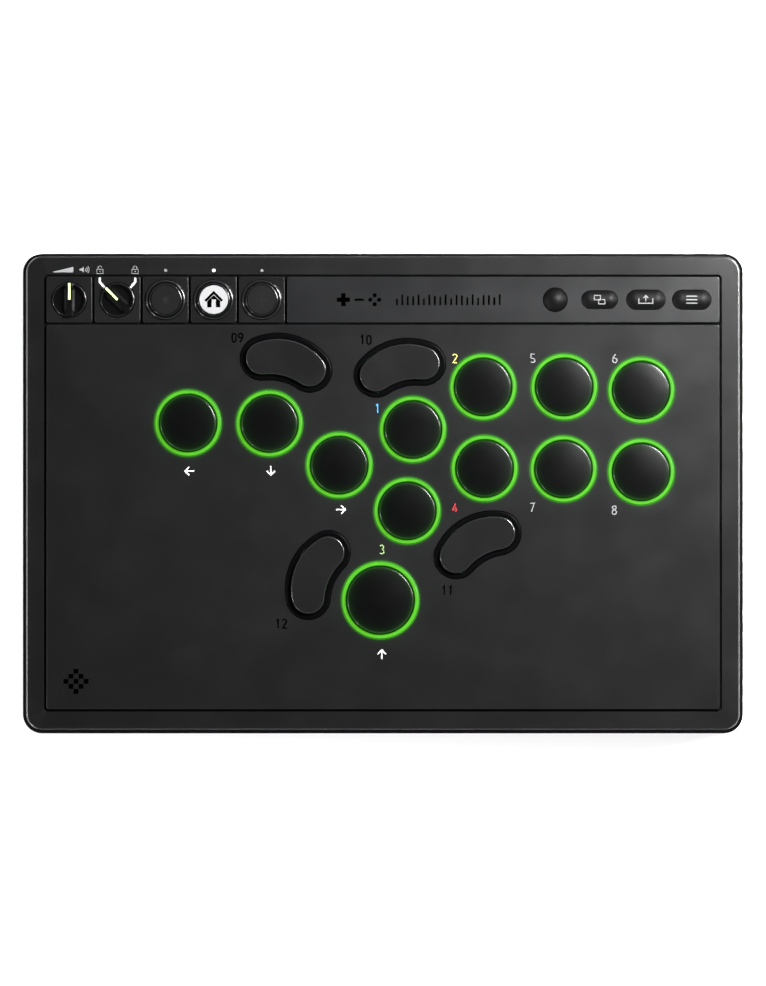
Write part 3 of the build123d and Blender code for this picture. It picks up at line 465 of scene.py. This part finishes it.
# ------------------------------------------------------------------ CAD nodes that keep their shape
TILE_FACE = 6.0 * MM  # radius of a tile button's face, inside its groove
SEAM_SHADE = 0.9 * MM  # below this depth the panels' flanks and their seat get the black case look, as painted shade in the seams
NODE_LOOKS = {
    "charcoal": ["top_bezel", "main_panel", *TILES],
    "header": ["header_panel"],
    "case": ["lower_case"],
    "collar": ["bean_collars"],
    "cap": ROUND_KEYS,
    "bean": BEAN_KEYS,
    "button": TILE_BUTTONS,
    "gloss": HEADER_BUTTONS,
    "white": ["home_button_lens", "ring_lamps"],
    "knob": ["volume_knob", "lock_knob"],
    "pointer": ["volume_knob_pointer", "lock_knob_pointer"],
    "steel": ["volume_shaft", "lock_shaft", "switch_springs", "board_screws", "rotary_bodies"],
    "tin": ["usb_shell", "radio_shield"],
    "black_screw": ["case_screws"],
    "ring": ["light_rings"],
    "rubber": ["rubber_feet"],
    "board": ["main_board"],
    "nylon": ["switch_bases", "switch_lids", "tact_switches", "processor_chip", "usb_tongue", "audio_jack"],
    "foil": ["battery_pack"],
    "natural": ["battery_plug"],
    "lead": ["battery_lead"],
    "pip_off": ["indicator_light_pipes"],
}


def part_look(node, look, test):
    """A second look for the faces of a CAD node whose middle and normal pass a test."""
    data = NODES[node].data
    data.materials.append(LOOKS[look])
    slot = len(data.materials) - 1
    for face in data.polygons:
        if test(face.center, face.normal):
            face.material_index = slot


def dress_nodes():
    for look, names in NODE_LOOKS.items():
        for name in names:
            wear_look(NODES[name], look)
    # Painted shade: the charcoal parts' steep flanks, and all faces deeper than SEAM_SHADE below the panel
    # face, get the black, non-reflecting case look.
    for name in ["header_panel", *NODE_LOOKS["charcoal"]]:
        part_look(name, "case", lambda middle, way: middle.z < PANEL_TOP - SEAM_SHADE or way.z < 0.5)
    # The bezel's left and right edge facets get the glossier edge look, so highlight lines show only on those
    # sides.
    part_look("top_bezel", "edge", lambda middle, way: abs(way.x) > 0.2 and 0.5 < way.z < 0.98)
    part_look("lower_case", "under", lambda middle, way: way.z < -0.5)
    # Painted shade: the header buttons' steep walls get the black, non-reflecting case look.
    for name in HEADER_BUTTONS:
        part_look(name, "case", lambda middle, way: way.z < 0.4)
    collar = PANEL_TOP + PRINT_RISE * MM
    for button in TILE_BUTTONS:
        part_look(button.replace("button", "tile"), "knob", lambda middle, way: middle.z > collar)
        axis = centre(button)
        part_look(button, "knob", lambda middle, way: (middle - axis).to_2d().length > TILE_FACE)
    bare = [name for name, thing in NODES.items() if thing.data.materials[0] not in LOOKS.values()]
    if bare:
        raise RuntimeError(f"these CAD nodes have no look: {bare}")


# ------------------------------------------------------------------ round caps
CAP_RIM = 0.75 * MM  # radius of the cap's rounded edge
CAP_CROWN = 0.5 * MM  # how far the dome rises above its edge
CAP_WALL = 1.5 * MM
CAP_ROOF = 2.3 * MM
CAP_BOSS = (3.6 * MM, 4.6 * MM)  # inner and outer radius of the ring over the stem's neck
BOSS_GAP = 0.05 * MM
# The switch stem under a round cap, in millimetres: sizes across, and heights over its own foot.
STEM_BORE = (2.25, 3.9)  # radius and depth of the spring's bore
STEM_SHOULDER = (3.5, 3.1, 1.6)  # half sizes and height
STEM_NECK = (2.9, 6.1)
STEM_PRONG = (3.2, 1.2, 3.0, 8.4)  # outer reach, thickness, width and top
STEM_TURNS = 32


def lathe(name, profile, at, look, body, turns=128):
    """A closed solid of revolution from (radius, height) pairs in metres, both ends on the axis."""
    mesh = bmesh.new()
    rows = []
    for radius, height in profile:
        if radius == 0:
            rows.append([mesh.verts.new((at.x, at.y, height))])
            continue
        ways = [2 * math.pi * i / turns for i in range(turns)]
        around = [(at.x + radius * math.cos(way), at.y + radius * math.sin(way), height) for way in ways]
        rows.append([mesh.verts.new(place) for place in around])
    for first, second in zip(rows, rows[1:]):
        for i in range(turns):
            j = (i + 1) % turns
            corners = [first[i % len(first)], first[j % len(first)]]
            corners += [second[j % len(second)], second[i % len(second)]]
            mesh.faces.new(list(dict.fromkeys(corners)))
    return finished(name, mesh, look, body)


def oblong(half_x, half_y, height):
    """Points round a rectangle, one for each turn of a stem, as (x, y, height)."""
    points = []
    for i in range(STEM_TURNS):
        way = 2 * math.pi * i / STEM_TURNS
        reach = 1 / max(abs(math.cos(way)) / half_x, abs(math.sin(way)) / half_y)
        points.append((reach * math.cos(way), reach * math.sin(way), height))
    return points


def switch_stem(key):
    """The stem that moves with a round cap: bored shoulder, square neck and two prongs."""
    bore, deep = STEM_BORE
    wide, broad, shoulder = STEM_SHOULDER
    neck, neck_top = STEM_NECK
    rings = [[(x, y, deep) for x, y in loop((0, 0), bore, STEM_TURNS)]]
    rings += [[(x, y, 0) for x, y in loop((0, 0), bore, STEM_TURNS)]]
    rings += [oblong(wide, broad, 0), oblong(wide, broad, shoulder)]
    rings += [oblong(neck, neck, shoulder), oblong(neck, neck, neck_top)]
    mesh = bmesh.new()
    rows = [[mesh.verts.new(point) for point in ring] for ring in rings]
    mesh.faces.new(rows[0])
    mesh.faces.new(rows[-1])
    for first, second in zip(rows, rows[1:]):
        for i in range(STEM_TURNS):
            j = (i + 1) % STEM_TURNS
            mesh.faces.new([first[i], first[j], second[j], second[i]])
    reach, thick, width, prong_top = STEM_PRONG
    for side in (-1, 1):
        before = len(mesh.verts)
        outline = [(side * (reach - thick), -width / 2), (side * reach, -width / 2)]
        outline += [(side * reach, width / 2), (side * (reach - thick), width / 2)]
        prism(mesh, outline, prong_top - neck_top)
        mesh.verts.ensure_lookup_table()
        bmesh.ops.translate(mesh, verts=mesh.verts[before:], vec=(0, 0, neck_top + BOSS_GAP / MM))
    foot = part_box(key)[0].z
    printed(f"stem_of_{key}", mesh, "nylon", body_of(key), centre(key), foot)
    return foot + neck_top * MM


def cap_profile(radius, low, high, neck):
    """Hollow cap from its underside round the skirt and the rounded rim to the crown."""
    inner = radius - CAP_WALL
    roof = high - CAP_ROOF
    seat = neck + BOSS_GAP
    profile = [(0, roof), (CAP_BOSS[0], roof), (CAP_BOSS[0], seat), (CAP_BOSS[1], seat), (CAP_BOSS[1], roof)]
    profile += [(inner, roof), (inner, low), (radius - 0.2 * MM, low), (radius, low + 0.2 * MM)]
    dome = (radius**2 + CAP_CROWN**2) / (2 * CAP_CROWN)
    edge = radius - CAP_RIM
    edge_top = high - dome + math.sqrt(dome**2 - edge**2)
    lean = math.degrees(math.asin(edge / dome))
    for step in range(13):
        angle = math.radians((90 - lean) * step / 12)
        profile.append((edge + CAP_RIM * math.cos(angle), edge_top - CAP_RIM + CAP_RIM * math.sin(angle)))
    for step in range(11, 0, -1):
        reach = edge * step / 12
        profile.append((reach, high - dome + math.sqrt(dome**2 - reach**2)))
    return profile + [(0, high)]


def round_caps():
    """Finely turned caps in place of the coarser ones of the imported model."""
    for key in ROUND_KEYS:
        low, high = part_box(key)
        skirt = top("top_bezel") - 2.0 * MM
        profile = cap_profile((high.x - low.x) / 2, skirt, high.z, switch_stem(key))
        cap = lathe(f"cap_of_{key}", profile, centre(key), "cap", body_of(key))
        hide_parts(key)


# ------------------------------------------------------------------ print on the panels
def arrow_mark():
    mesh = bmesh.new()
    half, wing, stroke = 2.05, 1.75, 0.55
    ribbon(mesh, [(-half, 0), (half - 0.5, 0)], stroke, PRINT_RISE)
    ribbon(mesh, [(half - wing - 0.3, wing), (half - 0.3, 0), (half - wing - 0.3, -wing)], stroke, PRINT_RISE)
    return mesh


def digit_strokes(digit):
    """Centre lines of a digit 4.1 high, each with a flag that says if it closes on itself."""
    low, high = -1.77, 1.77
    upper, lower = (0, 0.98), (0, -0.88)
    strokes = {
        "0": [(loop((0, 0.97), 0.8, 12, 0, 180) + loop((0, -0.97), 0.8, 12, 180, 180), True)],
        "1": [([(-0.6, 1.15), (0.1, high), (0.1, low)], False)],
        "2": [(loop((0, 0.97), 0.8, 12, 165, -200) + [(-0.8, low), (0.85, low)], False)],
        "3": [(loop(upper, 0.79, 12, 150, -235), False), (loop(lower, 0.89, 12, 85, -235), False)],
        "4": [([(0.3, high), (-0.95, -0.85), (1.05, -0.85)], False), ([(0.4, 0.4), (0.4, low)], False)],
        "5": [([(0.75, high), (-0.65, high), (-0.72, 0.1)] + loop(lower, 0.89, 12, 120, -265), False)],
        "6": [(loop(lower, 0.89, 24), True), ([(-0.87, -0.6), (-0.6, 0.45), (0.35, high)], False)],
        "7": [([(-0.85, high), (0.85, high), (-0.3, low)], False)],
        "8": [(loop(upper, 0.76, 24), True), (loop(lower, 0.89, 24), True)],
        "9": [(loop((0, 0.88), 0.89, 24), True), ([(0.87, 0.6), (0.6, -0.45), (-0.35, low)], False)],
    }
    return strokes[digit]


def numeral_mark(text, stroke):
    """Numerals side by side, with their middle at the origin."""
    mesh = bmesh.new()
    for i, digit in enumerate(text):
        shift = (i - (len(text) - 1) / 2) * DIGIT_PITCH
        for points, closed in digit_strokes(digit):
            ribbon(mesh, [(x + shift, y) for x, y in points], stroke, PRINT_RISE, closed)
    return mesh


def panel_print():
    for key, ((dx, dy), turn) in ARROWS.items():
        at = centre(key) + Vector((dx * MM, dy * MM, 0))
        printed(f"arrow_by_{key}", arrow_mark(), "ink_white", "chassis", at, PANEL_TOP, turn)
    for key, (text, (dx, dy), colour) in NUMERALS.items():
        at = centre(key) + Vector((dx * MM, dy * MM, 0))
        mark = numeral_mark(text, BLACK_STROKE if colour == "black" else DIGIT_STROKE)
        printed(f"numeral_by_{key}", mark, f"ink_{colour}", "chassis", at, PANEL_TOP)


def corner_emblem():
    """Generic chequered diamond in the front left corner of the main panel."""
    mesh = bmesh.new()
    pitch, half = 2.1, 0.98
    cells = [(x, y) for x in range(-2, 3) for y in range(-2, 3) if abs(x) + abs(y) in (0, 2)]
    square = [(-half, -half), (half, -half), (half, half), (-half, half)]
    for column, row in cells:
        prism(mesh, [(x + column * pitch, y + row * pitch) for x, y in square], PRINT_RISE)
    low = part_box("main_panel")[0]
    printed("corner_emblem", mesh, "ink_black", "chassis", low + Vector((12.3 * MM, 11.6 * MM, 0)), PANEL_TOP)


def header_print():
    """Generic dark marks on the header: a pad cross, four dots and a row of upright bars."""
    low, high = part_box("header_panel")
    middle_y = (low.y + high.y) / 2
    cross = bmesh.new()
    ribbon(cross, [(-2.7, 0), (2.7, 0)], 1.8, PRINT_RISE)
    ribbon(cross, [(0, 0.9), (0, 2.7)], 1.8, PRINT_RISE)
    ribbon(cross, [(0, -0.9), (0, -2.7)], 1.8, PRINT_RISE)
    printed("header_cross", cross, "ink_black", "chassis", (low.x + 23.4 * MM, middle_y), PANEL_TOP)
    dots = bmesh.new()
    for angle in range(0, 360, 90):
        way = math.radians(angle)
        disc(dots, (1.85 * math.cos(way), 1.85 * math.sin(way)), 0.85, PRINT_RISE)
    printed("header_dots", dots, "ink_black", "chassis", (low.x + 36.4 * MM, middle_y), PANEL_TOP)
    dash = bmesh.new()
    ribbon(dash, [(-1.9, 0), (1.9, 0)], 0.9, PRINT_RISE)
    printed("header_dash", dash, "ink_black", "chassis", (low.x + 30.0 * MM, middle_y), PANEL_TOP)
    bars = bmesh.new()
    count, pitch = 20, 2.25
    for i in range(count):
        x = (i - (count - 1) / 2) * pitch
        tall = 1.25 + 0.95 * abs(math.sin(1.9 * i))
        ribbon(bars, [(x, -2.2), (x, -2.2 + 2 * tall)], 0.75, PRINT_RISE)
    printed("header_bars", bars, "ink_black", "chassis", (low.x + 67.0 * MM, middle_y), PANEL_TOP)


def padlock_mark(is_open):
    mesh = bmesh.new()
    ribbon(mesh, [(-1.3, -1.65), (1.3, -1.65), (1.3, 0.1), (-1.3, 0.1)], 0.22, PRINT_RISE, closed=True)
    disc(mesh, (0, -0.78), 0.24, PRINT_RISE, 16)
    shackle = [(-0.75, 0.2), (-0.75, 0.75)] + loop((0, 0.75), 0.75, 10, 180, -180)
    if not is_open:
        shackle += [(0.75, 0.2)]
    ribbon(mesh, shackle, 0.22, PRINT_RISE)
    return mesh


def bezel_print():
    """Marks along the bezel above the tiles."""
    tile_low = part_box("volume_tile")[0]
    line_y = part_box("volume_tile")[1].y + 3.0 * MM
    wedge = bmesh.new()
    prism(wedge, [(-4.3, -1.15), (4.3, -1.15), (4.3, 1.15), (-4.3, -0.95)], PRINT_RISE)
    printed("volume_wedge", wedge, "ink_grey", "chassis", (tile_low.x + 6.9 * MM, line_y), BEZEL_TOP)
    speaker = bmesh.new()
    cone = [(-2.2, -0.45), (-1.5, -0.45), (-0.5, -1.15), (-0.5, 1.15), (-1.5, 0.45), (-2.2, 0.45)]
    prism(speaker, cone, PRINT_RISE)
    for radius in (0.8, 1.5, 2.2):
        ribbon(speaker, loop((-0.5, 0), radius, 10, -42, 84), 0.28, PRINT_RISE)
    printed("loudspeaker_mark", speaker, "ink_grey", "chassis", (tile_low.x + 16.0 * MM, line_y), BEZEL_TOP)
    lock = centre("lock_tile")
    for side, name in ((-1, "open"), (1, "shut")):
        at = (lock.x + side * 7.3 * MM, line_y)
        printed(f"padlock_{name}", padlock_mark(name == "open"), "ink_grey", "chassis", at, BEZEL_TOP)
    for side, name in ((-1, "left"), (1, "right")):
        guide = bmesh.new()
        ribbon(guide, [(side * 7.35, 9.2), (side * 7.35, 7.35), (side * 5.35, 5.0)], 0.9, PRINT_RISE)
        printed(f"lock_guide_{name}", guide, "ink_white", "chassis", lock, PANEL_TOP)


def indicator_lights():
    """Lens buttons over the light pipes: the middle one is lit."""
    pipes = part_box("indicator_light_pipes")
    y = (pipes[0].y + pipes[1].y) / 2
    for tile in TILES[2:]:
        lit = tile == "home_tile"
        mesh = bmesh.new()
        disc(mesh, (0, 0), 0.6 if lit else 0.3, PRINT_RISE, 24)
        look = "pip_on" if lit else "pip_off"
        printed(f"indicator_over_{tile}", mesh, look, "chassis", (centre(tile).x, y), BEZEL_TOP)


# ------------------------------------------------------------------ icons on the small buttons
def top_mark(name, mesh, look, node, over):
    """A flat mark on a small button, over the middle and the top of one of the button's nodes."""
    printed(name, mesh, look, node, centre(over), top(over))


def button_icons():
    star = bmesh.new()
    points = []
    for i in range(10):
        radius = 2.1 if i % 2 == 0 else 0.95
        points += loop((0, 0), radius, 1, 90 + 36 * i, 1)[:1]
    prism(star, points, 0.02)
    top_mark("function_star", star, "ink_faint", "function_button", "function_button")
    cluster = bmesh.new()
    for x, y in ((0, 2.0), (-2.0, 0), (2.0, 0), (0, -2.0), (0, 0)):
        disc(cluster, (x, y), 0.6, 0.02, 20)
    top_mark("pair_dots", cluster, "ink_faint", "pair_button", "pair_button")
    house = bmesh.new()
    prism(house, [(-3.9, -0.2), (0, 3.7), (3.9, -0.2), (3.1, -0.9), (0, 2.2), (-3.1, -0.9)], 0.02)
    for side in (-1, 1):
        prism(house, [(side * 2.7, -3.2), (side * 2.7, -0.6), (side * 0.9, 1.0), (side * 0.9, -3.2)], 0.02)
    prism(house, [(-0.95, 0.1), (-0.95, 1.05), (0, 1.85), (0.95, 1.05), (0.95, 0.1)], 0.02)
    top_mark("home_mark", house, "ink_black", "home_button", "home_button_lens")
    windows = bmesh.new()
    ribbon(windows, [(-2.2, -0.1), (0.35, -0.1), (0.35, 1.75), (-2.2, 1.75)], 0.32, 0.03, closed=True)
    ribbon(windows, [(-0.35, -1.75), (2.2, -1.75), (2.2, 0.1), (-0.35, 0.1)], 0.32, 0.03, closed=True)
    draped("windows_mark", windows, "ink_grey", "windows_button", centre("windows_button"))
    share = bmesh.new()
    ribbon(share, [(-2.9, 0.5), (-2.9, -1.5), (2.9, -1.5), (2.9, 0.5)], 0.38, 0.03)
    ribbon(share, [(0, -0.7), (0, 1.4)], 0.36, 0.03)
    ribbon(share, [(-1.0, 0.7), (0, 1.75), (1.0, 0.7)], 0.36, 0.03)
    draped("share_mark", share, "ink_grey", "share_button", centre("share_button"))
    menu = bmesh.new()
    for y in (-1.45, 0, 1.45):
        ribbon(menu, [(-2.3, y), (2.3, y)], 0.45, 0.03)
    draped("menu_mark", menu, "ink_grey", "menu_button", centre("menu_button"))


# ------------------------------------------------------------------ studio
WORLD_STRENGTH = 0.06
FLOOR_REACH = 3.0  # metres from the middle to the floor's edge
KEY_LIGHT = ((0.155, 0.135, 0.56), 0.15, 20.0)  # place from the rear right corner, side in metres, watts
# Rings of lamps round the case: watts by azimuth in degrees, then radius, height and side in metres.
FILL_LIGHTS = ({azimuth: 5.5 for azimuth in range(15, 375, 45)}, 1.15, 1.05, 1.0)
RIM_LIGHTS = ({14: 26.0, 50: 14.0, 190: 12.0, 226: 8.0}, 1.5, 0.9, 0.22)
CAMERA_FOCAL = 1200.0
CAMERA_SENSOR = 36.0
VIEW_HEIGHT = 409.7 * MM  # height of the picture at the panel's face
CAMERA_TILT = 0.6  # degrees from straight down, towards the player


def studio():
    scene = bpy.context.scene
    scene.view_settings.view_transform = "Standard"
    floor_mesh = bmesh.new()
    bmesh.ops.create_grid(floor_mesh, x_segments=8, y_segments=8, size=FLOOR_REACH)
    data = bpy.data.meshes.new("studio_floor")
    floor_mesh.to_mesh(data)
    floor_mesh.free()
    data.materials.append(floor_paper())
    floor = bpy.data.objects.new("studio_floor", data)
    floor.location.z = CAD_BOX[0].z - 0.0002
    scene.collection.objects.link(floor)

    world = bpy.data.worlds.new("studio_world")
    scene.world = world
    world.use_nodes = True
    world.node_tree.nodes["Background"].inputs["Color"].default_value = (1, 1, 1, 1)
    world.node_tree.nodes["Background"].inputs["Strength"].default_value = WORLD_STRENGTH

    aim = Vector((0, 0, PANEL_TOP))
    corner = Vector((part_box("header_panel")[1].x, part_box("header_panel")[1].y, PANEL_TOP))
    place, side, power = KEY_LIGHT
    lamp("key_light", corner + Vector(place), corner, side, power)
    for name, (powers, radius, height, side) in (("fill", FILL_LIGHTS), ("rim", RIM_LIGHTS)):
        for azimuth, power in powers.items():
            way = math.radians(azimuth)
            place = aim + Vector((radius * math.cos(way), radius * math.sin(way), height))
            lamp(f"{name}_light_{azimuth}", place, aim, side, power)

    camera = bpy.data.cameras.new("camera")
    camera.lens = CAMERA_FOCAL
    camera.sensor_width = CAMERA_SENSOR
    camera.clip_end = 50
    eye = bpy.data.objects.new("camera", camera)
    distance = VIEW_HEIGHT * CAMERA_FOCAL / CAMERA_SENSOR
    tilt = math.radians(CAMERA_TILT)
    eye.location = aim + Vector((0, -math.sin(tilt), math.cos(tilt))) * distance
    eye.rotation_euler = (tilt, 0, 0)
    scene.collection.objects.link(eye)
    scene.camera = eye


def lamp(name, place, aim, side, power):
    light = bpy.data.lights.new(name, "AREA")
    light.shape = "SQUARE"
    light.size = side
    light.energy = power
    holder = bpy.data.objects.new(name, light)
    holder.location = place
    holder.rotation_euler = (aim - Vector(place)).to_track_quat("-Z", "Y").to_euler()
    bpy.context.scene.collection.objects.link(holder)


# ------------------------------------------------------------------ assembly
dress_nodes()
round_caps()
panel_print()
corner_emblem()
header_print()
bezel_print()
indicator_lights()
button_icons()
studio()
